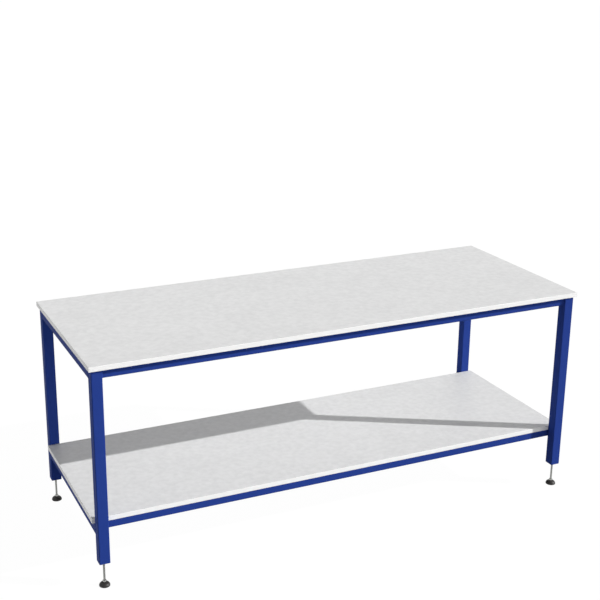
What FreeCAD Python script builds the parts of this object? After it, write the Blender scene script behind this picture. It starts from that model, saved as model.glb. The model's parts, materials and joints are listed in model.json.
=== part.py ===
import FreeCAD, Part
import math
import os
import Sketcher

# Assembly table: a laminate-faced worktop and a lower shelf on a welded box-section frame that
# stands on four screw-adjusted levelling feet. Millimetres, +X along the table, +Y to its rear,
# +Z up, with the origin on the floor under the middle of the table.

doc = FreeCAD.newDocument("assembly_table")
sheet = doc.addObject("Spreadsheet::Sheet", "sizes")

drivingSizes = [
    # whole table
    ("tableLength", 2000, "length of the worktop"),
    ("tableDepth", 750, "depth of the worktop, front to rear"),
    ("tableHeight", 850, "floor to the top of the worktop"),
    ("topOverhang", 9, "worktop past the outer faces of the legs"),
    # boards and edging
    ("boardThick", 18, "worktop board and shelf board"),
    ("edgingThick", 2, "edging strip glued round the boards"),
    ("edgingRound", 1, "rounding of the strip's outer edges"),
    ("shelfTop", 258, "floor to the top of the shelf"),
    ("shelfOverhang", 9, "shelf ends past the outer faces of the legs"),
    ("shelfLegGap", 3, "gap between the shelf and the legs beside it"),
    # welded frame
    ("legSide", 40, "square box section of the legs"),
    ("legWall", 2, "wall of the legs"),
    ("legLift", 97, "floor to the lower ends of the legs"),
    ("railHigh", 35, "height of the worktop's long rails and cross rail"),
    ("endRailHigh", 40, "height of the end rails under the worktop and the shelf"),
    ("railWide", 20, "width of all these rails"),
    ("railWall", 2, "wall of all these rails"),
    ("shelfRailSide", 30, "square box section of the shelf's long rails and cross rail"),
    ("shelfRailWall", 2, "wall of the same rails"),
    ("shelfRailInset", 3, "shelf's long rails in from its edges"),
    ("cornerRatio", 1.5, "outer corner radius of a box section over its wall"),
    # fixing tabs and screws
    ("tabLong", 30, "tab along its rail"),
    ("tabReach", 22, "tab out from its rail"),
    ("tabThick", 3, "tab"),
    ("tabCorner", 5, "rounding of the tab's free corners"),
    ("tabHole", 5, "diameter of the hole in a tab"),
    ("outerTabFrom", 140, "outermost tabs from the legs' outer faces"),
    ("innerTabFrom", 300, "inner tabs from mid-length"),
    ("screwShank", 4, "diameter of a screw's shank"),
    ("screwLong", 15, "screw under its head"),
    ("screwHead", 8, "diameter of a screw's head"),
    ("screwHeadHigh", 3, "height of a screw's head"),
    ("screwRim", 1.8, "height of the head's upright rim"),
    ("screwPoint", 3, "length of a screw's point"),
    # threaded plug in the end of each leg
    ("plugInset", 1, "plug up from the end of the leg"),
    ("plugThick", 5, "plug's square plate"),
    ("bossRadius", 8, "plug's round boss"),
    ("bossHigh", 20, "boss above the plate"),
    # levelling foot
    ("threadRadius", 4, "outer radius of the stem's thread"),
    ("threadPlay", 0.05, "radial play of the thread in the plug"),
    ("threadReach", 42, "thread above the lower end of the leg"),
    ("threadChamfer", 1, "chamfer at the top of the thread"),
    ("hexFlats", 13, "stem's hexagon across its flats"),
    ("hexHigh", 5, "height of the hexagon"),
    ("hexGap", 3, "hexagon above the pad"),
    ("hexFaceRatio", 0.96, "flat round end of the hexagon over its width across flats"),
    ("hexTurning", 30, "slope of the hexagon's turned corners, in degrees"),
    ("neckRadius", 2.8, "stem between its ball and its hexagon"),
    ("ballRadius", 5, "stem's ball end"),
    ("ballPlay", 0.1, "play of the ball in the pad's socket"),
    ("ballCentre", 9.4, "ball's centre above the floor"),
    ("mouthRadius", 4, "mouth of the socket, which holds the ball in"),
    ("padRadius", 20, "pad on the floor"),
    ("padRim", 3.5, "height of the pad's upright rim"),
    ("padHigh", 14, "height of the pad"),
    ("padCrown", 9, "radius of the pad's flat crown round the socket"),
    ("padDome", 14, "radius of the arc from the rim to the crown"),
    ("padWall", 2.5, "pad's wall round its underside pockets"),
    ("padHub", 8, "radius of the pad's solid hub"),
    ("padRound", 1, "rounding of the pad's outer edges"),
    ("pocketDeep", 3, "depth of the underside pockets"),
    ("pocketAngle", 36, "angle that one underside pocket takes"),
    ("pocketCount", 8, "underside pockets between the ribs"),
]

for row, (alias, size, note) in enumerate(drivingSizes, start=1):
    sheet.set(f"A{row}", note)
    sheet.set(f"B{row}", str(size))
    sheet.setAlias(f"B{row}", alias)
doc.recompute()

# Places that several pieces share, as expressions of the sheet.
legEnd = "(sizes.tableLength / 2 - sizes.topOverhang)"
legFace = "(sizes.tableDepth / 2 - sizes.topOverhang)"
legX = f"({legEnd} - sizes.legSide / 2)"
legY = f"({legFace} - sizes.legSide / 2)"
frameTop = "(sizes.tableHeight - sizes.boardThick)"
shelfUnder = "(sizes.shelfTop - sizes.boardThick)"
betweenLegsX = "(sizes.tableLength - 2 * sizes.topOverhang - 2 * sizes.legSide)"
betweenLegsY = "(sizes.tableDepth - 2 * sizes.topOverhang - 2 * sizes.legSide)"
shelfLength = "(sizes.tableLength - 2 * sizes.topOverhang + 2 * sizes.shelfOverhang)"
shelfDepth = f"({betweenLegsY} - 2 * sizes.shelfLegGap)"
betweenEndRails = "(sizes.tableLength - 2 * sizes.topOverhang - 2 * sizes.railWide)"
shelfRailY = f"({shelfDepth} / 2 - sizes.shelfRailInset - sizes.shelfRailSide / 2)"
endRailX = f"({legEnd} - sizes.railWide / 2)"
hexBase = "(sizes.padHigh + sizes.hexGap)"
threadBase = f"({hexBase} + sizes.hexHigh)"
threadTop = "(sizes.legLift + sizes.threadReach)"

# Middles of the tabs, and of the screws through them, which reach inwards from the rails.
topTabY = f"({legY} - sizes.railWide / 2 - sizes.tabReach / 2)"
topTabX = f"({endRailX} - sizes.railWide / 2 - sizes.tabReach / 2)"
shelfTabY = f"({shelfRailY} - sizes.shelfRailSide / 2 - sizes.tabReach / 2)"

nodes = []


def value(expression):
    """The number that an expression of the sheet comes to."""
    return float(sheet.evalExpression(expression))


def keep(piece, label):
    """Names a finished piece and marks it as one that is written out."""
    piece.Label = label
    nodes.append(piece)
    return piece


def place(piece, x="0", y="0", z="0"):
    """Ties the piece's position to expressions."""
    for axis, expression in zip("xyz", (x, y, z)):
        piece.setExpression(f"Placement.Base.{axis}", expression)


def signed(side, expression):
    return expression if side > 0 else f"-{expression}"


def originPlane(body, role):
    return next(p for p in body.Origin.OriginFeatures if p.Role == role)


def newSketch(body, role, name):
    sketch = body.newObject("Sketcher::SketchObject", name)
    sketch.AttachmentSupport = [(originPlane(body, role), "")]
    sketch.MapMode = "FlatFace"
    return sketch


def bind(sketch, name, expression, kind, *places):
    """Adds a dimension with a name, between numbered places, and ties it to an expression."""
    number = sketch.addConstraint(Sketcher.Constraint(kind, *places, value(expression)))
    sketch.renameConstraint(number, name)
    sketch.setExpression(f"Constraints.{name}", expression)


def circleAtOrigin(body, role, name, radius):
    """A sketch of one circle about the plane's origin."""
    sketch = newSketch(body, role, name)
    circle = Part.Circle(FreeCAD.Vector(0, 0, 0), FreeCAD.Vector(0, 0, 1), value(radius))
    sketch.addGeometry(circle, False)
    sketch.addConstraint(Sketcher.Constraint("Coincident", 0, 3, -1, 1))
    bind(sketch, "radius", radius, "Radius", 0)
    return sketch


def closedOutline(sketch, points):
    """Draws straight lines through the points and joins their ends into one closed outline."""
    corners = [FreeCAD.Vector(x, y, 0) for x, y in points]
    count = len(corners)
    for i in range(count):
        sketch.addGeometry(Part.LineSegment(corners[i], corners[(i + 1) % count]), False)
    for i in range(count):
        sketch.addConstraint(Sketcher.Constraint("Coincident", i, 2, (i + 1) % count, 1))


def centredRectangle(body, role, name, wide, high):
    """A rectangle about the plane's origin, wide along its first axis and high along its second."""
    sketch = newSketch(body, role, name)
    x, y = value(wide) / 2, value(high) / 2
    closedOutline(sketch, [(-x, -y), (x, -y), (x, y), (-x, y)])
    for line in (0, 2):
        sketch.addConstraint(Sketcher.Constraint("Horizontal", line))
    for line in (1, 3):
        sketch.addConstraint(Sketcher.Constraint("Vertical", line))
    sketch.addConstraint(Sketcher.Constraint("Symmetric", 0, 1, 2, 1, -1, 1))
    bind(sketch, "wide", wide, "DistanceX", 0, 1, 0, 2)
    bind(sketch, "high", high, "DistanceY", 1, 1, 1, 2)
    return sketch


def parallel(one, other):
    """Whether two unit vectors lie along one line."""
    return one.cross(other).Length < 1e-6


def edgesAlong(shape, direction, accept=lambda edge: True):
    """Names of the straight edges that run along a direction and pass a test."""
    found = []
    for number, edge in enumerate(shape.Edges, start=1):
        if len(edge.Vertexes) != 2 or not isinstance(edge.Curve, Part.Line):
            continue
        if parallel(edge.Curve.Direction, direction) and accept(edge):
            found.append(f"Edge{number}")
    return found


def boxSection(label, role, wide, high, wall, length):
    """A length of rectangular tube, centred on the origin of the plane that it stands on."""
    body = doc.addObject("PartDesign::Body", label)
    outline = centredRectangle(body, role, label + "_outline", wide, high)
    bar = body.newObject("PartDesign::Pad", label + "_bar")
    bar.Profile = outline
    bar.Midplane = True
    bar.setExpression("Length", length)
    doc.recompute()

    along = {"XY_Plane": (0, 0, 1), "YZ_Plane": (1, 0, 0), "XZ_Plane": (0, 1, 0)}[role]
    along = FreeCAD.Vector(*along)
    corners = body.newObject("PartDesign::Fillet", label + "_corners")
    corners.Base = (bar, edgesAlong(bar.Shape, along))
    corners.setExpression("Radius", f"{wall} * sizes.cornerRatio")
    doc.recompute()

    ends = []
    for number, face in enumerate(corners.Shape.Faces, start=1):
        if parallel(face.normalAt(0, 0), along):
            ends.append(f"Face{number}")
    tube = body.newObject("PartDesign::Thickness", label + "_tube")
    tube.Base = (corners, ends)
    tube.Reversed = True
    tube.setExpression("Value", wall)
    body.Tip = tube
    return keep(body, label)


def fixingPoints(sideY, endX=None):
    """Screw positions under a board: along both long rails and, with endX, one at each end rail.
    Each is (x, y, angle), where the angle turns a tab to reach inwards from its rail."""
    outer = value(f"{legEnd} - sizes.outerTabFrom")
    inner = sheet.innerTabFrom
    y = value(sideY)
    points = []
    for x in (-outer, -inner, inner, outer):
        points += [(x, -y, 0), (x, y, 180)]
    if endX is not None:
        x = value(endX)
        points += [(-x, 0, -90), (x, 0, 90)]
    return points


def shapeGroup(label, shape, points, z):
    """One node that holds a copy of the shape at each fixing point."""
    copies = []
    for x, y, angle in points:
        copy = shape.copy()
        turn = FreeCAD.Rotation(FreeCAD.Vector(0, 0, 1), angle)
        copy.Placement = FreeCAD.Placement(FreeCAD.Vector(x, y, z), turn) * copy.Placement
        copies.append(copy)
    group = doc.addObject("Part::Feature", label)
    group.Shape = Part.makeCompound(copies)
    return keep(group, label)


def board(label, length, depth, top, points):
    """A board inside its edging strips, with a blind pilot hole under each screw."""
    blank = doc.addObject("Part::Box", label + "_blank")
    blank.setExpression("Length", f"{length} - 2 * sizes.edgingThick")
    blank.setExpression("Width", f"{depth} - 2 * sizes.edgingThick")
    blank.setExpression("Height", "sizes.boardThick")
    place(blank, f"sizes.edgingThick - {length} / 2", f"sizes.edgingThick - {depth} / 2")
    holes = doc.addObject("Part::Feature", label + "_holes")
    # a pilot hole takes the part of a screw that stands above its tab
    side = 2 * sheet.screwLong
    aboveTab = Part.makeBox(side, side, side, FreeCAD.Vector(-side / 2, -side / 2, sheet.tabThick))
    pilot = screwShape.common(aboveTab)
    pilot.translate(FreeCAD.Vector(0, 0, -sheet.tabThick))
    drilled = []
    for x, y, angle in points:
        hole = pilot.copy()
        hole.translate(FreeCAD.Vector(x, y, 0))
        drilled.append(hole)
    holes.Shape = Part.makeCompound(drilled)
    cut = doc.addObject("Part::Cut", label)
    cut.Base = blank
    cut.Tool = holes
    place(cut, z=f"{top} - sizes.boardThick")
    return keep(cut, label)


def edgingStrip(label, role, length, side, offset, top):
    """A strip of edging along one side of a board, its two outer edges rounded."""
    body = doc.addObject("PartDesign::Body", label)
    outline = centredRectangle(body, role, label + "_outline", "sizes.edgingThick", "sizes.boardThick")
    strip = body.newObject("PartDesign::Pad", label + "_strip")
    strip.Profile = outline
    strip.Midplane = True
    strip.setExpression("Length", length)
    doc.recompute()
    acrossX = role == "XZ_Plane"
    along = FreeCAD.Vector(0, 1, 0) if acrossX else FreeCAD.Vector(1, 0, 0)

    def outside(edge):
        middle = edge.CenterOfMass
        return side * (middle.x if acrossX else middle.y) > 0

    rounding = body.newObject("PartDesign::Fillet", label + "_rounding")
    rounding.Base = (strip, edgesAlong(strip.Shape, along, outside))
    rounding.setExpression("Radius", "sizes.edgingRound")
    body.Tip = rounding
    shift = signed(side, f"({offset} / 2 - sizes.edgingThick / 2)")
    middleZ = f"{top} - sizes.boardThick / 2"
    if acrossX:
        place(body, x=shift, z=middleZ)
    else:
        place(body, y=shift, z=middleZ)
    return keep(body, label)


# Screws and fixing tabs, made once and copied to every fixing point.

def screwProfile():
    """A pan-head screw that stands on z = 0 under its head and points up."""
    body = doc.addObject("PartDesign::Body", "screw_pattern")
    profile = newSketch(body, "XZ_Plane", "screw_profile")
    shank, head = sheet.screwShank / 2, sheet.screwHead / 2
    crown, rim = -sheet.screwHeadHigh, -sheet.screwRim
    tip = sheet.screwLong
    shoulder = tip - sheet.screwPoint
    outline = [(0, crown), (head, rim), (head, 0), (shank, 0), (shank, shoulder), (0, tip)]
    closedOutline(profile, outline)
    for line in (1, 3, 5):
        profile.addConstraint(Sketcher.Constraint("Vertical", line))
    profile.addConstraint(Sketcher.Constraint("Horizontal", 2))
    profile.addConstraint(Sketcher.Constraint("PointOnObject", 0, 1, -2))
    profile.addConstraint(Sketcher.Constraint("PointOnObject", 2, 1, -1))
    bind(profile, "head", "sizes.screwHead / 2", "DistanceX", -1, 1, 2, 1)
    bind(profile, "shank", "sizes.screwShank / 2", "DistanceX", -1, 1, 2, 2)
    bind(profile, "headHigh", "sizes.screwHeadHigh", "DistanceY", 0, 1, -1, 1)
    bind(profile, "rim", "sizes.screwRim", "DistanceY", 1, 1, 1, 2)
    bind(profile, "long", "sizes.screwLong", "DistanceY", -1, 1, 4, 2)
    bind(profile, "point", "sizes.screwPoint", "DistanceY", 4, 1, 4, 2)
    turned = body.newObject("PartDesign::Revolution", "screw_turned")
    turned.Profile = profile
    turned.ReferenceAxis = (profile, ["V_Axis"])
    turned.Angle = 360
    body.Tip = turned
    doc.recompute()
    return turned.Shape


def tabBody():
    """A flat tab centred on its screw hole, with the corners of its free edge rounded."""
    body = doc.addObject("PartDesign::Body", "tab_pattern")
    outline = centredRectangle(body, "XY_Plane", "tab_outline", "sizes.tabLong", "sizes.tabReach")
    plate = body.newObject("PartDesign::Pad", "tab_plate")
    plate.Profile = outline
    plate.setExpression("Length", "sizes.tabThick")
    doc.recompute()
    corners = body.newObject("PartDesign::Fillet", "tab_corners")
    free = edgesAlong(plate.Shape, FreeCAD.Vector(0, 0, 1), lambda e: e.CenterOfMass.y > 0)
    corners.Base = (plate, free)
    corners.setExpression("Radius", "sizes.tabCorner")
    doc.recompute()
    circle = circleAtOrigin(body, "XY_Plane", "tab_hole_outline", "sizes.tabHole / 2")
    hole = body.newObject("PartDesign::Pocket", "tab_hole")
    hole.Profile = circle
    hole.Type = "ThroughAll"
    hole.Midplane = True
    body.Tip = hole
    doc.recompute()
    return hole.Shape


screwShape = screwProfile()
tabShape = tabBody()
topPoints = fixingPoints(topTabY, topTabX)
shelfPoints = fixingPoints(shelfTabY)

for label, points, under in (("worktop", topPoints, frameTop), ("shelf", shelfPoints, shelfUnder)):
    tabUnder = value(f"{under} - sizes.tabThick")
    shapeGroup(f"{label}_fixing_tabs", tabShape, points, tabUnder)
    shapeGroup(f"{label}_screws", screwShape, points, tabUnder)

# Boards and their edging.

boards = [
    ("worktop", "sizes.tableLength", "sizes.tableDepth", "sizes.tableHeight", topPoints),
    ("shelf", shelfLength, shelfDepth, "sizes.shelfTop", shelfPoints),
]
for label, length, depth, top, points in boards:
    board(f"{label}_board", length, depth, top, points)
    endStrip = f"{depth} - 2 * sizes.edgingThick"
    for side, word in ((-1, "front"), (1, "rear")):
        edgingStrip(f"{label}_edging_{word}", "YZ_Plane", length, side, depth, top)
    for side, word in ((-1, "left"), (1, "right")):
        edgingStrip(f"{label}_edging_{word}", "XZ_Plane", endStrip, side, length, top)

# Welded frame.

topRailMiddle = f"{frameTop} - sizes.railHigh / 2"
for side, word in ((-1, "front"), (1, "rear")):
    rail = boxSection(
        f"top_rail_{word}", "YZ_Plane", "sizes.railWide", "sizes.railHigh", "sizes.railWall", betweenLegsX
    )
    place(rail, y=signed(side, legY), z=topRailMiddle)
    rail = boxSection(
        f"shelf_rail_{word}",
        "YZ_Plane",
        "sizes.shelfRailSide",
        "sizes.shelfRailSide",
        "sizes.shelfRailWall",
        betweenEndRails,
    )
    place(rail, y=signed(side, shelfRailY), z=f"{shelfUnder} - sizes.shelfRailSide / 2")

for side, word in ((-1, "left"), (1, "right")):
    for level, under in (("top", frameTop), ("shelf", shelfUnder)):
        rail = boxSection(
            f"{level}_rail_{word}",
            "XZ_Plane",
            "sizes.railWide",
            "sizes.endRailHigh",
            "sizes.railWall",
            betweenLegsY,
        )
        place(rail, x=signed(side, endRailX), z=f"{under} - sizes.endRailHigh / 2")

topCross = boxSection(
    "top_cross_rail",
    "XZ_Plane",
    "sizes.railWide",
    "sizes.railHigh",
    "sizes.railWall",
    f"2 * {legY} - sizes.railWide",
)
place(topCross, z=topRailMiddle)
shelfCross = boxSection(
    "shelf_cross_rail",
    "XZ_Plane",
    "sizes.shelfRailSide",
    "sizes.shelfRailSide",
    "sizes.shelfRailWall",
    f"2 * {shelfRailY} - sizes.shelfRailSide",
)
place(shelfCross, z=f"{shelfUnder} - sizes.shelfRailSide / 2")


# One threaded plug, one stem and one pad for each leg.

def threadedPlug(label):
    """A square plate with a round boss on it, bored through for the stem's thread."""
    inner = "(sizes.legSide - 2 * sizes.legWall)"
    body = doc.addObject("PartDesign::Body", label)
    outline = centredRectangle(body, "XY_Plane", label + "_outline", inner, inner)
    plate = body.newObject("PartDesign::Pad", label + "_plate")
    plate.Profile = outline
    plate.setExpression("Length", "sizes.plugThick")
    doc.recompute()
    corners = body.newObject("PartDesign::Fillet", label + "_corners")
    corners.Base = (plate, edgesAlong(plate.Shape, FreeCAD.Vector(0, 0, 1)))
    corners.setExpression("Radius", "sizes.legWall * (sizes.cornerRatio - 1)")
    doc.recompute()
    boss = body.newObject("PartDesign::Pad", label + "_boss")
    boss.Profile = circleAtOrigin(body, "XY_Plane", label + "_boss_outline", "sizes.bossRadius")
    boss.setExpression("Length", "sizes.plugThick + sizes.bossHigh")
    doc.recompute()
    boreRadius = "sizes.threadRadius + sizes.threadPlay"
    bore = body.newObject("PartDesign::Pocket", label + "_bore")
    bore.Profile = circleAtOrigin(body, "XY_Plane", label + "_bore_outline", boreRadius)
    bore.Type = "ThroughAll"
    bore.Midplane = True
    body.Tip = bore
    return keep(body, label)


def footStem(label):
    """A ball, a neck, a hexagon with turned corners and a long thread, one above the other."""
    ball = doc.addObject("Part::Sphere", label + "_ball")
    ball.setExpression("Radius", "sizes.ballRadius")
    place(ball, z="sizes.ballCentre")
    neck = doc.addObject("Part::Cylinder", label + "_neck")
    neck.setExpression("Radius", "sizes.neckRadius")
    neck.setExpression("Height", f"{hexBase} - sizes.ballCentre")
    place(neck, z="sizes.ballCentre")
    prism = doc.addObject("Part::Prism", label + "_prism")
    prism.Polygon = 6
    prism.setExpression("Circumradius", "sizes.hexFlats / sqrt(3)")
    prism.setExpression("Height", "sizes.hexHigh")
    place(prism, z=hexBase)
    # each end of the hexagon is turned to a cone that takes its corners off
    flatEnd = "sizes.hexFlats / 2 * sizes.hexFaceRatio"
    cones = []
    for end in ("lower", "upper"):
        cone = doc.addObject("Part::Cone", f"{label}_{end}_cone")
        narrow, wide = ("Radius1", "Radius2") if end == "lower" else ("Radius2", "Radius1")
        cone.setExpression(narrow, flatEnd)
        cone.setExpression(wide, f"{flatEnd} + sizes.hexHigh / tan(sizes.hexTurning)")
        cone.setExpression("Height", "sizes.hexHigh")
        place(cone, z=hexBase)
        cones.append(cone)
    hexagon = doc.addObject("Part::MultiCommon", label + "_hexagon")
    hexagon.Shapes = [prism] + cones
    thread = doc.addObject("Part::Cylinder", label + "_thread")
    thread.setExpression("Radius", "sizes.threadRadius")
    thread.setExpression("Height", f"{threadTop} - sizes.threadChamfer - {threadBase}")
    place(thread, z=threadBase)
    tip = doc.addObject("Part::Cone", label + "_tip")
    tip.setExpression("Radius1", "sizes.threadRadius")
    tip.setExpression("Radius2", "sizes.threadRadius - sizes.threadChamfer")
    tip.setExpression("Height", "sizes.threadChamfer")
    place(tip, z=f"{threadTop} - sizes.threadChamfer")
    stem = doc.addObject("Part::MultiFuse", label)
    stem.Shapes = [ball, neck, hexagon, thread, tip]
    return keep(stem, label)


def footPad(label):
    """A domed pad with a ball socket let in from above and ribbed pockets in its underside."""
    body = doc.addObject("PartDesign::Body", label)
    constrain = Sketcher.Constraint

    # half section: floor, upright rim, dome, flat crown and axis
    half = newSketch(body, "XZ_Plane", label + "_half_section")
    wide, rim, crown, high = sheet.padRadius, sheet.padRim, sheet.padCrown, sheet.padHigh
    outline = ((0, 0), (wide, 0), (wide, rim), (crown, high), (0, high))
    corner = [FreeCAD.Vector(x, y, 0) for x, y in outline]
    # the dome's middle lies on the outer side of its chord
    chord = corner[3] - corner[2]
    outwards = FreeCAD.Vector(chord.y, -chord.x, 0).normalize()
    rise = sheet.padDome - math.sqrt(sheet.padDome**2 - (chord.Length / 2) ** 2)
    domeMiddle = (corner[2] + corner[3]) / 2 + outwards * rise
    half.addGeometry(Part.LineSegment(corner[0], corner[1]), False)
    half.addGeometry(Part.LineSegment(corner[1], corner[2]), False)
    half.addGeometry(Part.Arc(corner[2], domeMiddle, corner[3]), False)
    half.addGeometry(Part.LineSegment(corner[3], corner[4]), False)
    half.addGeometry(Part.LineSegment(corner[4], corner[0]), False)
    arcStart = 1 if half.Geometry[2].StartPoint.x > half.Geometry[2].EndPoint.x else 2
    joints = [(0, 2, 1, 1), (1, 2, 2, arcStart), (2, 3 - arcStart, 3, 1), (3, 2, 4, 1), (4, 2, 0, 1)]
    for joint in joints:
        half.addConstraint(constrain("Coincident", *joint))
    for line in (0, 3):
        half.addConstraint(constrain("Horizontal", line))
    for line in (1, 4):
        half.addConstraint(constrain("Vertical", line))
    half.addConstraint(constrain("Coincident", 0, 1, -1, 1))
    bind(half, "radius", "sizes.padRadius", "DistanceX", 0, 1, 0, 2)
    bind(half, "rim", "sizes.padRim", "DistanceY", 1, 1, 1, 2)
    bind(half, "high", "sizes.padHigh", "DistanceY", 4, 2, 4, 1)
    bind(half, "crown", "sizes.padCrown", "DistanceX", 3, 2, 3, 1)
    bind(half, "dome", "sizes.padDome", "Radius", 2)
    solid = body.newObject("PartDesign::Revolution", label + "_solid")
    solid.Profile = half
    solid.ReferenceAxis = (half, ["V_Axis"])
    solid.Angle = 360
    doc.recompute()
    # the outer edges at the floor and at the crown are rounded
    near = 0.01
    outerEdges = []
    for number, edge in enumerate(solid.Shape.Edges, start=1):
        if isinstance(edge.Curve, Part.Circle) and edge.Closed:
            atFloor = abs(edge.Curve.Radius - sheet.padRadius) < near and edge.CenterOfMass.z < near
            atCrown = abs(edge.Curve.Radius - sheet.padCrown) < near
            if atFloor or atCrown:
                outerEdges.append(f"Edge{number}")
    rounding = body.newObject("PartDesign::Fillet", label + "_rounding")
    rounding.Base = (solid, outerEdges)
    rounding.setExpression("Radius", "sizes.padRound")
    doc.recompute()

    # one pocket, a sector between the hub and the rim, repeated all round to leave ribs
    inner, outer = sheet.padHub, sheet.padRadius - sheet.padWall
    lean = math.radians(sheet.pocketAngle / 2)
    ends = [
        FreeCAD.Vector(r * math.cos(lean), side * r * math.sin(lean), 0)
        for r, side in ((inner, -1), (inner, 1), (outer, -1), (outer, 1))
    ]
    sector = newSketch(body, "XY_Plane", label + "_sector")
    sector.addGeometry(Part.Arc(ends[0], FreeCAD.Vector(inner, 0, 0), ends[1]), False)
    sector.addGeometry(Part.LineSegment(ends[1], ends[3]), False)
    sector.addGeometry(Part.Arc(ends[2], FreeCAD.Vector(outer, 0, 0), ends[3]), False)
    sector.addGeometry(Part.LineSegment(ends[0], ends[2]), False)
    for joint in ((0, 3, -1, 1), (2, 3, -1, 1), (0, 2, 1, 1), (1, 2, 2, 2), (0, 1, 3, 1), (3, 2, 2, 1)):
        sector.addConstraint(constrain("Coincident", *joint))
    sector.addConstraint(constrain("PointOnObject", -1, 1, 1))
    sector.addConstraint(constrain("Symmetric", 0, 1, 0, 2, -1))
    sector.addConstraint(constrain("Symmetric", 2, 1, 2, 2, -1))
    bind(sector, "hub", "sizes.padHub", "Radius", 0)
    bind(sector, "rim", "sizes.padRadius - sizes.padWall", "Radius", 2)
    bind(sector, "wide", "2 * sizes.padHub * sin(sizes.pocketAngle / 2)", "DistanceY", 0, 1, 0, 2)
    pocket = body.newObject("PartDesign::Pocket", label + "_pocket")
    pocket.Profile = sector
    pocket.Reversed = True
    pocket.setExpression("Length", "sizes.pocketDeep")
    doc.recompute()
    pockets = body.newObject("PartDesign::PolarPattern", label + "_pockets")
    pockets.Originals = [pocket]
    pockets.Axis = (sector, ["N_Axis"])
    pockets.Angle = 360
    pockets.setExpression("Occurrences", "sizes.pocketCount")
    body.Tip = pockets
    doc.recompute()

    socket = body.newObject("PartDesign::SubtractiveSphere", label + "_socket")
    socket.setExpression("Radius", "sizes.ballRadius + sizes.ballPlay")
    place(socket, z="sizes.ballCentre")
    doc.recompute()
    mouth = body.newObject("PartDesign::SubtractiveCylinder", label + "_mouth")
    mouth.setExpression("Radius", "sizes.mouthRadius")
    mouth.setExpression("Height", "sizes.padHigh - sizes.ballCentre")
    place(mouth, z="sizes.ballCentre")
    doc.recompute()

    body.Tip = mouth
    return keep(body, label)


corners = [("front_left", -1, -1), ("front_right", 1, -1), ("rear_left", -1, 1), ("rear_right", 1, 1)]
for word, sideX, sideY in corners:
    x, y = signed(sideX, legX), signed(sideY, legY)
    leg = boxSection(
        f"leg_{word}",
        "XY_Plane",
        "sizes.legSide",
        "sizes.legSide",
        "sizes.legWall",
        f"{frameTop} - sizes.legLift",
    )
    place(leg, x, y, f"({frameTop} + sizes.legLift) / 2")
    plug = threadedPlug(f"leg_plug_{word}")
    place(plug, x, y, "sizes.legLift + sizes.plugInset")
    place(footStem(f"foot_stem_{word}"), x, y)
    place(footPad(f"foot_pad_{word}"), x, y)

doc.recompute()
failed = [o.Name for o in doc.Objects if "Invalid" in o.State or "Error" in o.State]
if failed:
    raise RuntimeError(f"these objects did not recompute: {failed}")

os.makedirs("parts", exist_ok=True)
for piece in nodes:
    shape = piece.Shape
    if shape.isNull() or not shape.isValid():
        raise RuntimeError(f"{piece.Label} has no valid shape")
    shape.exportStep(os.path.join("parts", piece.Label + ".step"))
print(f"wrote {len(nodes)} sub-parts")
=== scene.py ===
import json
import math

import bpy
import numpy as np
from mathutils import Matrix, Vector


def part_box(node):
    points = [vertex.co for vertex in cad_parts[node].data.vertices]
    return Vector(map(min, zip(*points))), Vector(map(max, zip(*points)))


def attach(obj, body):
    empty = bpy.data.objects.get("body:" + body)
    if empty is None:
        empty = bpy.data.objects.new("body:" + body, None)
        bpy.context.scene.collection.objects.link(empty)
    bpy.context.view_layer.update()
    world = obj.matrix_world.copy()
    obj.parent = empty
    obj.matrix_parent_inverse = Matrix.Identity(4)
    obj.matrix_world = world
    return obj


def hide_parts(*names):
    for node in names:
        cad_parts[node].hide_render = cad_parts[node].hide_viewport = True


# Assembly table, in metres and in the frame of the CAD part: +X along the table, +Y to its rear, +Z up.

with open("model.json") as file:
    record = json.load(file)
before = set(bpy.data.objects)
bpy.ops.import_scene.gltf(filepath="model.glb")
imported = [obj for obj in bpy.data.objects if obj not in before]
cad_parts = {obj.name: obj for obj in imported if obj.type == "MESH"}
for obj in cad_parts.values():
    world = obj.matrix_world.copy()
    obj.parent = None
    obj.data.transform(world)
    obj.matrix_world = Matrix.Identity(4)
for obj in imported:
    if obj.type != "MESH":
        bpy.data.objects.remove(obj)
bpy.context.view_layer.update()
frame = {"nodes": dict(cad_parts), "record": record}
nodes = frame["nodes"]
slotOf = {part["node"]: part["material_slot"] for part in frame["record"]["subparts"]}
feet = ("front_left", "front_right", "rear_left", "rear_right")  # and the legs above them
levels = ("top", "shelf")
boards = ("worktop", "shelf")
xAxis, yAxis, zAxis = np.eye(3)
print("frame loaded:", len(nodes), "nodes")


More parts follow.
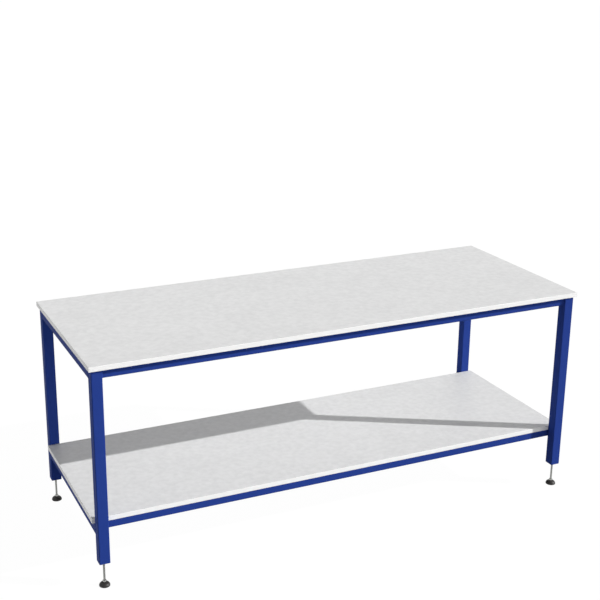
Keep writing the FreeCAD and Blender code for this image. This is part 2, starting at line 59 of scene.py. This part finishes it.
class Wire:
    # one socket of a node tree, so that shader maths reads as plain sums
    def __init__(self, tree, socket=None):
        self.tree = tree
        self.socket = socket

    def add(self, kind, settings=None, sockets=None, output=0):
        # a new node: its settings first, then a number, colour or wire on each socket
        node = self.tree.nodes.new(kind)
        for name, value in (settings or {}).items():
            setattr(node, name, value)
        for name, value in (sockets or {}).items():
            if isinstance(value, Wire):
                self.tree.links.new(value.socket, node.inputs[name])
            else:
                node.inputs[name].default_value = value
        return Wire(self.tree, node.outputs[output] if node.outputs else None)

    def math(self, operation, *values):
        return self.add("ShaderNodeMath", {"operation": operation}, dict(enumerate(values)))

    def __add__(self, other):
        return self.math("ADD", self, other)

    def __radd__(self, other):
        return self.math("ADD", other, self)

    def __sub__(self, other):
        return self.math("SUBTRACT", self, other)

    def __rsub__(self, other):
        return self.math("SUBTRACT", other, self)

    def __mul__(self, other):
        return self.math("MULTIPLY", self, other)

    def __rmul__(self, other):
        return self.math("MULTIPLY", other, self)

    def __lt__(self, other):
        return self.math("LESS_THAN", self, other)

    def along(self, axis):
        # one coordinate, "X", "Y" or "Z", of a place or direction
        return self.add("ShaderNodeSeparateXYZ", sockets={"Vector": self}, output=axis)

    def stretched(self, scale):
        # this place with its X, Y and Z each times its own part of the scale
        return self.add("ShaderNodeMapping", sockets={"Vector": self, "Scale": scale})

    def noise(self, size, detail):
        # soft noise about 0, from -0.5 to 0.5, at this place, whose patches are about as wide as size
        sockets = {"Vector": self, "Scale": 1 / size, "Detail": detail}
        return self.add("ShaderNodeTexNoise", sockets=sockets) - 0.5

    def blend(self, first, second):
        # a colour between two colours: the first where this number is 0, the second where it is 1;
        # the node has an A, a B and a result for each kind of value, and a colour's are 6, 7 and output 2
        return self.add("ShaderNodeMix", {"data_type": "RGBA"}, {0: self, 6: first, 7: second}, output=2)

    def bump(self, depth):
        return self.add("ShaderNodeBump", sockets={"Height": self, "Distance": depth})

    def mixWith(self, other, part):
        # a shader between two shaders: this one where the part is 0, the other where it is 1
        return self.add("ShaderNodeMixShader", sockets={0: part, 1: self, 2: other})


def newMaterial(name):
    material = bpy.data.materials.new(name)
    material.use_nodes = True
    material.node_tree.nodes.clear()
    return material, Wire(material.node_tree)


def objectPlace(wire):
    return wire.add("ShaderNodeTexCoord", output="Object")


def coat(wire, sockets):
    # the surface of a material: one Principled shader
    shader = wire.add("ShaderNodeBsdfPrincipled", sockets=sockets)
    wire.add("ShaderNodeOutputMaterial", sockets={"Surface": shader})


def grey(level):
    return (level, level, level, 1.0)


laminate = {
    "pale": grey(0.799),
    "deep": grey(0.702),
    "cloudSize": 0.16,  # m, soft patches of the print
    "cloudPart": 0.5,
    "fleckSize": 0.022,  # m, fine flecks of the print
    "fleckPart": 2.1,
    "pearlSize": 0.0011,  # m, pressed pearl finish
    "pearlDepth": 0.00003,  # m
    "glueLine": 0.00025,  # m, seam between the board and its edging
    "glueColour": (0.30, 0.29, 0.27, 1.0),
    "roughness": 0.42,
    "roughSpread": 0.06,
    "specular": 0.3,
}


def laminateMaterial(board):
    material, wire = newMaterial(board + "_laminate")
    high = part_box(board)[1]
    place = objectPlace(wire)
    cloud = place.noise(laminate["cloudSize"], detail=2.0) * laminate["cloudPart"]
    fleck = place.noise(laminate["fleckSize"], detail=6.0) * laminate["fleckPart"]
    colour = (0.5 + cloud + fleck).blend(laminate["pale"], laminate["deep"])
    fromEnd = high.x - wire.math("ABSOLUTE", place.along("X"))  # distance from the nearer end of the board
    fromSide = high.y - wire.math("ABSOLUTE", place.along("Y"))
    seam = wire.math("MINIMUM", fromEnd, fromSide) < laminate["glueLine"]
    pearl = place.noise(laminate["pearlSize"], detail=3.0)
    coat(wire, {
        "Base Color": seam.blend(colour, laminate["glueColour"]),
        "Roughness": laminate["roughness"] + laminate["roughSpread"] * pearl,
        "Normal": pearl.bump(laminate["pearlDepth"]),
        "Specular IOR Level": laminate["specular"],
    })
    return material


edging = {
    "pale": (0.900, 0.898, 0.893, 1.0),
    "deep": (0.840, 0.838, 0.830, 1.0),
    "streakLong": 0.09,  # m, faint marks left along the strip by the scraper
    "streakHigh": 0.0009,  # m
    "streakPart": 0.8,
    "streakDepth": 0.00002,  # m
    "deepPart": 0.4,  # how much of the deep colour shows on average
    "roughness": 0.34,
    "roughSpread": 0.1,
    "specular": 0.7,
}


def edgingMaterial():
    material, wire = newMaterial("edging")
    slow = edging["streakHigh"] / edging["streakLong"]  # a mark changes this much slower along the strip
    place = objectPlace(wire).stretched((slow, slow, 1.0))
    streak = place.noise(edging["streakHigh"], detail=3.0)
    deeper = edging["deepPart"] + edging["streakPart"] * streak
    coat(wire, {
        "Base Color": deeper.blend(edging["pale"], edging["deep"]),
        "Roughness": edging["roughness"] + edging["roughSpread"] * streak,
        "Normal": streak.bump(edging["streakDepth"]),
        "Specular IOR Level": edging["specular"],
    })
    return material


paint = {
    "colour": (0.0172, 0.0435, 0.2370, 1.0),
    "thinColour": (0.0206, 0.0496, 0.2630, 1.0),
    "cloudSize": 0.05,  # m, patches where the coat is a little thinner
    "peelSize": 0.0024,  # m, orange peel of the powder coat
    "peelDepth": 0.00012,  # m
    "roughness": 0.56,
    "roughSpread": 0.12,
    "specular": 0.04,
}


def paintMaterial():
    material, wire = newMaterial("frame_paint")
    place = objectPlace(wire)
    cloud = place.noise(paint["cloudSize"], detail=4.0)
    peel = place.noise(paint["peelSize"], detail=1.0)
    coat(wire, {
        "Base Color": (0.5 + cloud).blend(paint["colour"], paint["thinColour"]),
        "Roughness": paint["roughness"] + paint["roughSpread"] * cloud,
        "Normal": peel.bump(paint["peelDepth"]),
        "Specular IOR Level": paint["specular"],
    })
    return material


zinc = {
    "colour": (0.47, 0.475, 0.47, 1.0),
    "tint": (0.38, 0.385, 0.36, 1.0),
    "spangle": 0.006,  # m, patches of the plating
    "scratchSize": 0.0004,  # m
    "scratchDepth": 0.00001,  # m
    "roughness": 0.30,
    "roughSpread": 0.2,
}


def zincMaterial():
    material, wire = newMaterial("zinc_steel")
    place = objectPlace(wire)
    spangle = place.noise(zinc["spangle"], detail=4.0)
    scratch = place.noise(zinc["scratchSize"], detail=2.0)
    coat(wire, {
        "Base Color": (0.5 + spangle).blend(zinc["colour"], zinc["tint"]),
        "Metallic": 1.0,
        "Roughness": zinc["roughness"] + zinc["roughSpread"] * spangle,
        "Normal": scratch.bump(zinc["scratchDepth"]),
    })
    return material


nylon = {
    "colour": (0.014, 0.0125, 0.012, 1.0),
    "worn": (0.028, 0.0255, 0.024, 1.0),
    "wornSize": 0.012,  # m, patches where the sheen has rubbed off
    "grainSize": 0.0005,  # m, spark-eroded texture of the mould
    "grainDepth": 0.00004,  # m
    "roughness": 0.48,
    "roughSpread": 0.2,
    "specular": 0.35,
}


def nylonMaterial():
    material, wire = newMaterial("black_nylon")
    place = objectPlace(wire)
    grain = place.noise(nylon["grainSize"], detail=2.0)
    patch = place.noise(nylon["wornSize"], detail=3.0)
    coat(wire, {
        "Base Color": (0.5 + patch).blend(nylon["colour"], nylon["worn"]),
        "Roughness": nylon["roughness"] + nylon["roughSpread"] * grain,
        "Normal": grain.bump(nylon["grainDepth"]),
        "Specular IOR Level": nylon["specular"],
    })
    return material


finishes = {
    "frame_paint": paintMaterial(),
    "edging": edgingMaterial(),
    "zinc_steel": zincMaterial(),
    "black_nylon": nylonMaterial(),
}
for name, node in nodes.items():
    if slotOf[name] == "laminate_board":
        finish = laminateMaterial(name)
    else:
        finish = finishes[slotOf[name]]
    node.data.materials.clear()
    node.data.materials.append(finish)
print("materials made")


creaseAngle = 35.0  # degrees, an edge that turns more than this stays crisp


def boxOf(node):
    low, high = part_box(node)
    return np.array(low), np.array(high)


def fan(loop, pole):
    # triangles from each step of a closed loop to one point
    return np.stack([loop, np.roll(loop, -1), np.full(len(loop), pole)], axis=-1)


def ringShell(rings, firstPole, lastPole):
    # a closed skin over rings of points, an array (rings, around, 3), drawn to a pole beyond each end
    count, around = rings.shape[:2]
    points = np.vstack([rings.reshape(-1, 3), firstPole, lastPole])
    number = np.arange(count * around).reshape(count, around)
    beside = np.roll(number, -1, axis=1)
    quads = np.stack([number[:-1], beside[:-1], beside[1:], number[1:]], axis=-1).reshape(-1, 4)
    firstFan = fan(number[0, ::-1], count * around)
    lastFan = fan(number[-1], count * around + 1)
    return points, quads, np.vstack([firstFan, lastFan])


def makePiece(name, shells, slot, body, replaced=None):
    # one mesh of closed shells; a shell whose volume comes out negative is turned right side out
    points, faces, before = [], [], 0
    for skin, quads, triangles in shells:
        cut = np.vstack([quads[:, [0, 1, 2]], quads[:, [0, 2, 3]], triangles])
        a, b, c = skin[cut.T]
        volume = (a * np.cross(b, c)).sum() / 6
        if volume < 0:
            quads, triangles = quads[:, ::-1], triangles[:, ::-1]
        used = np.unique(cut)
        number = np.zeros(len(skin), dtype=int)
        number[used] = np.arange(len(used)) + before
        points.append(skin[used])
        faces += number[quads].tolist() + number[triangles].tolist()
        before += len(used)
    mesh = bpy.data.meshes.new(name)
    mesh.from_pydata(np.vstack(points).tolist(), [], faces)
    mesh.shade_smooth()
    mesh.set_sharp_from_angle(angle=math.radians(creaseAngle))
    mesh.materials.append(finishes[slot])
    piece = bpy.data.objects.new(name, mesh)
    bpy.context.scene.collection.objects.link(piece)
    if replaced:
        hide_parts(replaced)
    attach(piece, body)


weld = {
    "width": 0.0034,  # m, of a corner bead on each of its two faces
    "plugWidth": 0.0009,  # m, of the bead round the plug in a leg's end
    "bulge": 0.10,  # how much fuller a bead's middle is than a flat bevel
    "ripple": 0.0016,  # m, from one ripple to the next
    "rippleDepth": 0.10,  # parts of the bead's size
    "rippleMiddle": 0.6,  # height in a ripple at which the bead has its plain size
    "rippleSweep": 0.45,  # how far a ripple's middle runs ahead of its ends, in ripples
    "stray": 0.2,  # how far the ripples stray from even steps, in ripples
    "strayLong": 0.006,  # m, along the bead for one radian of straying
    "sunk": 0.0002,  # m, root of a bead inside the metal
    "taper": 0.0030,  # m, rounded end of a bead
    "seamHalf": 0.0028,  # m, half width of a bead in a flush seam
    "seamHigh": 0.0006,  # m, such a bead above the metal
    "seamDeep": 0.0015,  # m, such a bead into the seam
    "seamRipple": 3,  # its ripples are this power of a corner bead's
    "seamAside": 0.3,  # its middle beyond the rail's end, in corner radii of the tube
    "step": 0.0004,  # m, between rings
    "fewestSteps": 12,
    "around": 9,  # points across a bead
    "tubeCorner": 0.003,  # m, outer corner radius of the tubes
    "plugCorner": 0.001,  # m, inner corner radius of the legs
}


def evenSteps(length):
    # distances along a bead, about a step apart, from 0 to its length
    count = max(weld["fewestSteps"], round(length / weld["step"]))
    return np.linspace(0.0, length, count + 1)


def bentPath(runs, bend):
    # straight runs joined by quarter turns: heading = sum of (s - start of turn) / bend, held in 0 to pi / 2,
    # and the place is the running sum of step (cos heading, sin heading)
    turn = bend * math.pi / 2
    s = evenSteps(sum(runs) + turn * (len(runs) - 1))
    turnStarts = np.cumsum(runs)[:-1] + turn * np.arange(len(runs) - 1)
    heading = np.clip((s[:, None] - turnStarts) / bend, 0.0, math.pi / 2).sum(axis=1)
    middle = (heading[1:] + heading[:-1]) / 2
    steps = np.diff(s)[:, None] * np.stack([np.cos(middle), np.sin(middle)], axis=1)
    place = np.vstack([np.zeros((1, 2)), np.cumsum(steps, axis=0)])
    return s, heading, place


def beadSwell(s):
    # a bead's size along its length: 1, falling to 0 at both ends along a quarter of an ellipse
    fromEnd = np.minimum(s, s[-1] - s) / weld["taper"]
    return np.sqrt(1.0 - (1.0 - np.minimum(fromEnd, 1.0)) ** 2)


def beadRipple(s, across):
    # crescents across the bead: 1 + depth (|sin(pi phase)| - middle), where the phase is
    # s / ripple + stray sin(s / strayLong) + sweep across
    straying = weld["stray"] * np.sin(s[:, None] / weld["strayLong"])
    phase = s[:, None] / weld["ripple"] + straying + weld["rippleSweep"] * across
    return 1.0 + weld["rippleDepth"] * (np.abs(np.sin(np.pi * phase)) - weld["rippleMiddle"])


def cornerBead(start, along, turning, away, runs, bend=weld["tubeCorner"], width=weld["width"], inward=False):
    # a bead in the corner of two faces: point = P(s) + r (cos f n + sin f w), f from 0 to 90 degrees, with
    # r = width swell (1 + bulge sin 2f) ripple / (cos f + sin f)
    s, heading, place = bentPath(runs, bend)
    normal = np.sin(heading)[:, None] * along - np.cos(heading)[:, None] * turning
    if inward:
        normal = -normal
    root = np.array(start) + place @ np.stack([along, turning]) - weld["sunk"] * (normal + away)
    f = np.linspace(0.0, math.pi / 2, weld["around"])
    size = width * beadSwell(s)[:, None] * beadRipple(s, np.sin(2 * f))
    radius = size * (1.0 + weld["bulge"] * np.sin(2 * f)) / (np.cos(f) + np.sin(f))
    face = np.cos(f)[:, None] * normal[:, None, :] + np.sin(f)[:, None] * away
    skin = root[:, None, :] + radius[..., None] * face
    rings = np.concatenate([skin, root[:, None, :]], axis=1)
    return ringShell(rings[1:-1], root[0], root[-1])


def seamBead(start, along, across, away, run):
    # a low bead in a flush seam: point = P(s) + swell (half cos f a + h sin f w), h high above and deep below
    s = evenSteps(run)
    path = np.array(start) + s[:, None] * along
    f = np.linspace(0.0, 2 * math.pi, 2 * weld["around"], endpoint=False)
    swell = beadSwell(s)[:, None]
    high = weld["seamHigh"] * beadRipple(s, np.abs(np.sin(f))) ** weld["seamRipple"]
    reach = np.where(np.sin(f) > 0, high, weld["seamDeep"])
    sideways = (swell * weld["seamHalf"] * np.cos(f))[..., None] * across
    skin = path[:, None, :] + sideways + (swell * reach * np.sin(f))[..., None] * away
    return ringShell(skin[1:-1], path[0], path[-1])


def railShape(rail):
    # a rail's box, the width of its flat faces between the rounded corners, and its two ends along Y, each
    # with the direction from that end into the rail
    low, high = boxOf(rail)
    flats = high - low - 2 * weld["tubeCorner"]
    return low, high, flats, ((low[1], yAxis), (high[1], -yAxis))


def longRailBeads():
    # down the outer side, under the rail and up the inner side, at each end
    bend = weld["tubeCorner"]
    beads = []
    for level in levels:
        for word, side in (("front", -1), ("rear", 1)):
            low, high, flats, _ = railShape(f"{level}_rail_{word}")
            outer = low[1] if side < 0 else high[1]
            for end, away in ((low[0], xAxis), (high[0], -xAxis)):
                start = (end, outer, high[2] - bend)
                beads.append(cornerBead(start, -zAxis, -side * yAxis, away, (flats[2], flats[1], flats[2])))
    return beads


def endRailBeads():
    # under the rail and up its inner side, and a low seam where it is flush with the leg
    bend = weld["tubeCorner"]
    beads = []
    for level in levels:
        for word, side in (("left", -1), ("right", 1)):
            low, high, flats, ends = railShape(f"{level}_rail_{word}")
            outer = low[0] if side < 0 else high[0]
            for end, away in ends:
                start = (outer - side * bend, end, low[2])
                beads.append(cornerBead(start, -side * xAxis, zAxis, away, (flats[0], flats[2])))
                seam = (outer, end - away[1] * weld["seamAside"] * bend, low[2] + bend / 2)
                beads.append(seamBead(seam, zAxis, yAxis, side * xAxis, flats[2] + bend))
    return beads


def crossRailBeads():
    # up both sides, and a low seam underneath
    bend = weld["tubeCorner"]
    beads = []
    for level in levels:
        low, high, flats, ends = railShape(f"{level}_cross_rail")
        for end, away in ends:
            for edge, out in ((low[0], -xAxis), (high[0], xAxis)):
                beads.append(cornerBead((edge, end, low[2] + bend), zAxis, -out, away, (flats[2],)))
            seam = (low[0] + bend / 2, end - away[1] * weld["seamAside"] * bend, low[2])
            beads.append(seamBead(seam, xAxis, yAxis, -zAxis, flats[0] + bend))
    return beads


def plugBeads():
    # round the plug in each leg's lower end, ending a little past its start
    beads = []
    for foot in feet:
        low, high = boxOf("leg_plug_" + foot)
        side = high[0] - low[0] - 2 * weld["plugCorner"]
        start = ((low[0] + high[0]) / 2, low[1], low[2])
        runs = (side / 2, side, side, side, side / 2 + weld["taper"])
        bend, width = weld["plugCorner"], weld["plugWidth"]
        beads.append(cornerBead(start, xAxis, yAxis, -zAxis, runs, bend, width, inward=True))
    return beads


fixing = {
    "fromLegs": 0.140,  # m, outermost tabs from the legs' outer faces
    "fromMiddle": 0.300,  # m, inner tabs from mid-length
    "tabReach": 0.022,  # m, tab out from its rail
    "beadLong": 0.026,  # m, bead under a tab
}


def fixingPlaces(board):
    # each tab under a board: the point where its underside meets the rail, the rail's direction, the way in
    underside = boxOf(board + "_fixing_tabs")[0][2]
    rail = "top_rail_" if board == "worktop" else "shelf_rail_"
    outer = boxOf("leg_front_right")[1][0] - fixing["fromLegs"]
    frontFace = boxOf(rail + "front")[1][1]
    places = []
    for x in (-outer, -fixing["fromMiddle"], fixing["fromMiddle"], outer):
        for side in (-1, 1):
            places.append((np.array([x, -side * frontFace, underside]), xAxis, -side * yAxis))
    if board == "worktop":
        leftFace = boxOf(rail + "left")[1][0]
        for side in (-1, 1):
            places.append((np.array([-side * leftFace, 0.0, underside]), yAxis, -side * xAxis))
    return places


def tabBeads():
    # one bead under each fixing tab
    beads = []
    for board in boards:
        for place, along, inwards in fixingPlaces(board):
            start = place - along * fixing["beadLong"] / 2
            beads.append(cornerBead(start, along, -inwards, -zAxis, (fixing["beadLong"],)))
    return beads


frameWelds = longRailBeads() + endRailBeads() + crossRailBeads() + tabBeads() + plugBeads()
makePiece("frame_welds", frameWelds, "frame_paint", "frame")
print("welds made")


stem = {
    "threadRadius": 0.004,  # m
    "threadStart": 0.003,  # m, inside the hexagon, above its lower face
    "pitch": 0.00125,  # m
    "flankAngle": 30.0,  # degrees
    "rootFlat": 0.17,  # parts of the pitch
    "crestFlat": 0.125,
    "perTurn": 32,  # points in one turn of the thread
    "tipChamfer": 0.001,  # m
    "tipClosing": 0.55,  # how far the skin closes in past the tip, in one pitch
    "hexFlats": 0.013,  # m, across flats
    "hexLow": 0.017,  # m above the floor
    "hexHigh": 0.005,  # m
    "hexFace": 0.96,  # round end face over the width across flats
    "hexTurning": 30.0,  # degrees, slope of the turned corners
    "hexRings": 9,  # rings of points over each turned end
    "neckRadius": 0.0028,  # m
    "neckFillet": 0.0008,  # m
    "filletRings": 8,
    "filletSunk": 0.2,  # part of the fillet that is inside the hexagon
    "ballRadius": 0.005,  # m
    "ballHeight": 0.0094,  # m, middle of the ball above the floor
    "ballStart": 0.05,  # radians, from the ball's lowest point to its first ring
    "ballRings": 40,
    "around": 72,  # points in a ring
}


def turnedRings(radii, heights, around):
    # rings about the Z axis: (r cos a, r sin a, z), where r and z may differ from point to point of a ring
    a = np.linspace(0.0, 2 * math.pi, around, endpoint=False)
    return np.stack(np.broadcast_arrays(radii * np.cos(a), radii * np.sin(a), heights), axis=-1)


def threadShell(low, high):
    # a ridge wound round a rod: angle 2 pi t, height low + pitch t + offset, radius of root or crest, under
    # a cone at the tip; past the tip the skin closes in over the flat end
    pitch, perTurn = stem["pitch"], stem["perTurn"]
    flank = (1 - stem["rootFlat"] - stem["crestFlat"]) / 2
    offset = pitch * np.cumsum([0.0, stem["rootFlat"], flank, stem["crestFlat"]])
    depth = pitch * flank / math.tan(math.radians(stem["flankAngle"]))
    crest, root = stem["threadRadius"], stem["threadRadius"] - depth
    profile = np.array([root, root, crest, crest])
    steps = round((high - low) / pitch * perTurn)
    t = np.arange(steps + perTurn + 1) / perTurn
    free = low + pitch * t[:, None] + offset
    past = np.maximum(free - high, 0.0) / pitch
    tip = crest - stem["tipChamfer"]
    radius = np.minimum(profile, tip + np.maximum(high - free, 0.0)) * (1 - stem["tipClosing"] * past)
    angle = 2 * math.pi * t[:, None]
    points = np.stack([radius * np.cos(angle), radius * np.sin(angle), np.minimum(free, high)], axis=-1)
    # each row of the skin ends on the root of the next turn, and a loop closes it at each end of the rod
    number = np.arange(4 * len(t)).reshape(-1, 4)
    grid = np.hstack([number[:steps + 1], number[perTurn:, :1]])
    quads = np.stack([grid[:-1, :-1], grid[1:, :-1], grid[1:, 1:], grid[:-1, 1:]], axis=-1).reshape(-1, 4)
    lowLoop = np.concatenate([number[:perTurn + 1, 0], grid[0, 3:0:-1]])
    highLoop = np.concatenate([number[steps:, 0][::-1], grid[-1, 1:4]])
    poles = np.array([[0.0, 0.0, low + pitch / 2], [0.0, 0.0, high]])
    triangles = np.vstack([fan(lowLoop[::-1], 4 * len(t)), fan(highLoop[::-1], 4 * len(t) + 1)])
    return np.vstack([points.reshape(-1, 3), poles]), quads, triangles


def hexagonShell():
    # radius = the smaller of half flats / cos(angle from the middle of a flat) and the turned cone
    half, low, high = stem["hexFlats"] / 2, stem["hexLow"], stem["hexLow"] + stem["hexHigh"]
    slope = math.tan(math.radians(stem["hexTurning"]))
    turned = (half / math.cos(math.pi / 6) - half * stem["hexFace"]) * slope
    upwards = np.linspace(0.0, turned, stem["hexRings"])
    level = np.concatenate([upwards, stem["hexHigh"] - np.linspace(turned, 0.0, stem["hexRings"])])
    a = np.linspace(0.0, 2 * math.pi, stem["around"], endpoint=False)
    flats = half / np.cos(a % (math.pi / 3) - math.pi / 6)
    fromEnd = np.minimum(level, stem["hexHigh"] - level)
    cone = half * stem["hexFace"] + fromEnd / slope
    rings = turnedRings(np.minimum(flats, cone[:, None]), (low + level)[:, None], stem["around"])
    return ringShell(rings, (0.0, 0.0, low), (0.0, 0.0, high))


def neckShell():
    # a ball, a straight neck and a quarter-round fillet up to the hexagon, turned about the axis
    ball, neck, fillet = stem["ballRadius"], stem["neckRadius"], stem["neckFillet"]
    a = np.linspace(stem["ballStart"], math.pi - math.asin(neck / ball), stem["ballRings"])
    u = np.linspace(0.0, math.pi / 2, stem["filletRings"])
    radii = np.concatenate([ball * np.sin(a), neck + fillet * (1 - np.cos(u))])
    top = stem["hexLow"] + fillet * stem["filletSunk"]
    heights = np.concatenate([stem["ballHeight"] - ball * np.cos(a), top - fillet * (1 - np.sin(u))])
    rings = turnedRings(radii[:, None], heights[:, None], stem["around"])
    return ringShell(rings, (0.0, 0.0, stem["ballHeight"] - ball), (0.0, 0.0, top))


threadTop = boxOf("foot_stem_front_left")[1][2]
stemShells = [neckShell(), hexagonShell(), threadShell(stem["hexLow"] + stem["threadStart"], threadTop)]
for foot in feet:
    low, high = boxOf("foot_stem_" + foot)
    middle = (low + high) / 2 * (1, 1, 0)
    moved = [(points + middle, quads, triangles) for points, quads, triangles in stemShells]
    makePiece(f"foot_{foot}_threaded_stem", moved, "zinc_steel", "stem_" + foot, "foot_stem_" + foot)
print("stems made")


screw = {
    "shank": 0.002,  # m, radius
    "long": 0.015,  # m, from under the head to the tip
    "point": 0.003,  # m
    "tip": 0.02,  # radius of the tip over the shank's
    "head": 0.004,  # m, radius
    "rim": 0.0018,  # m, height of its upright rim
    "high": 0.0030,  # m, height of the head
    "outerRings": (0.99, 0.62, 6),  # first and last radius over the head's, and how many rings
    "innerRings": (0.60, 0.03, 22),
    "crossHalf": 0.00055,  # m, half width of the recess's arms
    "crossReach": 0.0024,  # m, length of an arm from the middle
    "crossDeep": 0.0018,  # m
    "crossSoft": 0.0003,  # m, over which its walls fall
    "crossSlope": 1.25,  # how fast its floor rises to the end of an arm
    "turn": 2.4,  # radians from one screw to the next
    "around": 72,  # points in a ring
}


def screwShell():
    # a pan head with a cross let into it, pointing down: dome z = rim + (high - rim) sqrt(1 - q^2), less
    # the recess, deep slope (1 - r / reach) and at most deep, inside the arms of the cross
    a = np.linspace(0.0, 2 * math.pi, screw["around"], endpoint=False)
    q = np.concatenate([np.linspace(*screw["outerRings"]), np.linspace(*screw["innerRings"])])
    r = screw["head"] * q
    dome = screw["rim"] + (screw["high"] - screw["rim"]) * np.sqrt(1 - q ** 2)
    nearer = np.minimum(np.abs(np.cos(a)), np.abs(np.sin(a))) * r[:, None]
    inArm = np.clip((screw["crossHalf"] - nearer) / screw["crossSoft"] + 0.5, 0.0, 1.0)
    fall = np.clip(screw["crossSlope"] * (1 - r / screw["crossReach"]), 0.0, 1.0)
    heads = -(dome[:, None] - screw["crossDeep"] * inArm * fall[:, None])
    shankRadii = np.array([screw["tip"], 1.0, 1.0]) * screw["shank"]
    shankHeights = np.array([screw["long"], screw["long"] - screw["point"], 0.0])
    radii = np.concatenate([shankRadii, [screw["head"], screw["head"]], r])
    flat = np.concatenate([shankHeights, [0.0, -screw["rim"]]])
    heights = np.vstack([flat[:, None] + 0 * a, heads])
    rings = turnedRings(radii[:, None], heights, screw["around"])
    return ringShell(rings, (0.0, 0.0, screw["long"]), (0.0, 0.0, screw["crossDeep"] - screw["high"]))


points, quads, triangles = screwShell()
for board in boards:
    shells = []
    for number, (place, _, inwards) in enumerate(fixingPlaces(board)):
        turn = screw["turn"] * number  # each screw stops at its own angle
        c, s = math.cos(turn), math.sin(turn)
        spin = np.array([[c, s, 0], [-s, c, 0], [0, 0, 1]])
        hole = place + inwards * fixing["tabReach"] / 2
        shells.append((points @ spin + hole, quads, triangles))
    makePiece(board + "_pan_head_screws", shells, "zinc_steel", "frame", board + "_screws")
print("screws made")


studio = {
    "floorSide": 400.0,  # m
    "floorBounce": 0.15,  # how much of the light on it the floor gives back
    "floorPale": 0.8,  # its colour, where the light on it shows
    "floorGlow": 1.03,  # 1 shows it white
    "shadowPart": 0.05,  # how much of the floor's look comes from the light on it
    "sunTravel": (-1.64, 0.915, -1.0),  # the way that the sun's light goes
    "sunLevel": 1.195,  # 1 lights a square-on white card to white
    "sunWidth": 0.6,  # degrees
    "skyTop": 0.128,  # level overhead
    "skyLow": 2.05,  # level at the horizon
    "skyTilt": 0.38,  # how much paler the sky is towards +X
    "skyBand": 0.62,  # sine of the height at which the pale band ends
}


def seenRays(wire):
    # 1 for the rays that show the background to the camera, a mirror or glass, 0 for those that only light
    kinds = ("Is Camera Ray", "Is Glossy Ray", "Is Transmission Ray")
    camera, glossy, through = [wire.add("ShaderNodeLightPath", output=kind) for kind in kinds]
    return wire.math("MINIMUM", camera + glossy + through, 1.0)


def makeFloor():
    # a dull floor to the table, but white with a faint shadow where it is looked at, and clear from below
    half = studio["floorSide"] / 2
    outline = [(-half, -half, 0), (half, -half, 0), (half, half, 0), (-half, half, 0)]
    mesh = bpy.data.meshes.new("floor")
    mesh.from_pydata(outline, [], [(0, 1, 2, 3)])
    floor = bpy.data.objects.new("floor", mesh)
    bpy.context.scene.collection.objects.link(floor)
    material, wire = newMaterial("floor")
    dull = wire.add("ShaderNodeBsdfDiffuse", sockets={"Color": grey(studio["floorBounce"])})
    pale = wire.add("ShaderNodeBsdfDiffuse", sockets={"Color": grey(studio["floorPale"])})
    glow = wire.add("ShaderNodeEmission", sockets={"Color": grey(1.0), "Strength": studio["floorGlow"]})
    white = glow.mixWith(pale, studio["shadowPart"])
    fromCamera = wire.add("ShaderNodeLightPath", output="Is Camera Ray")
    below = fromCamera * wire.add("ShaderNodeNewGeometry", output="Backfacing")
    clear = wire.add("ShaderNodeBsdfTransparent")  # so that the table can be looked at from under the floor
    shader = dull.mixWith(white, seenRays(wire)).mixWith(clear, below)
    wire.add("ShaderNodeOutputMaterial", sockets={"Surface": shader})
    mesh.materials.append(material)


def makeSky():
    # palest near the horizon, so the space under the worktop is lit from the sides
    world = bpy.data.worlds.new("studio")
    world.use_nodes = True
    world.node_tree.nodes.clear()
    bpy.context.scene.world = world
    wire = Wire(world.node_tree)
    direction = wire.add("ShaderNodeTexCoord", output="Generated")
    level = wire.add("ShaderNodeMapRange", {"interpolation_type": "SMOOTHSTEP"}, {
        "Value": direction.along("Z"),
        "From Min": 0.0,
        "From Max": studio["skyBand"],
        "To Min": studio["skyLow"],
        "To Max": studio["skyTop"],
    })
    level = level * (1.0 + studio["skyTilt"] * direction.along("X"))
    seen = seenRays(wire)
    strength = seen + (1.0 - seen) * level
    sky = wire.add("ShaderNodeBackground", sockets={"Color": grey(1.0), "Strength": strength})
    wire.add("ShaderNodeOutputWorld", sockets={"Surface": sky})


def makeSun():
    lamp = bpy.data.lights.new("sun", "SUN")
    lamp.energy = studio["sunLevel"] * math.pi
    lamp.angle = math.radians(studio["sunWidth"])
    sun = bpy.data.objects.new("sun", lamp)
    travel = np.array(studio["sunTravel"])
    travel = travel / np.linalg.norm(travel)
    tilt = math.acos(-travel[2])  # a sun with no turn shines straight down
    heading = math.atan2(travel[1], travel[0])
    sun.rotation_euler = (0.0, -tilt, heading)
    bpy.context.scene.collection.objects.link(sun)


view = {
    "place": (-1.8975, -3.8348, 2.2726),  # m
    "yaw": 23.521,  # degrees from +Y towards +X
    "pitch": -17.627,  # degrees above the horizon
    "lens": 68.70,  # mm
    "sensor": 36.0,  # mm
    "shift": (0.0721, -0.0311),  # parts of the picture's width
    "farthest": 1000.0,  # m
}


def makeCamera():
    camera = bpy.data.cameras.new("camera")
    camera.lens = view["lens"]
    camera.sensor_width = view["sensor"]
    camera.shift_x, camera.shift_y = view["shift"]
    camera.clip_end = view["farthest"]
    holder = bpy.data.objects.new("camera", camera)
    holder.location = view["place"]
    holder.rotation_euler = (math.radians(90 + view["pitch"]), 0.0, -math.radians(view["yaw"]))
    bpy.context.scene.collection.objects.link(holder)
    bpy.context.scene.camera = holder


makeFloor()
makeSky()
makeSun()
makeCamera()
bpy.context.scene.view_settings.view_transform = "Standard"
print("floor, light and camera made")
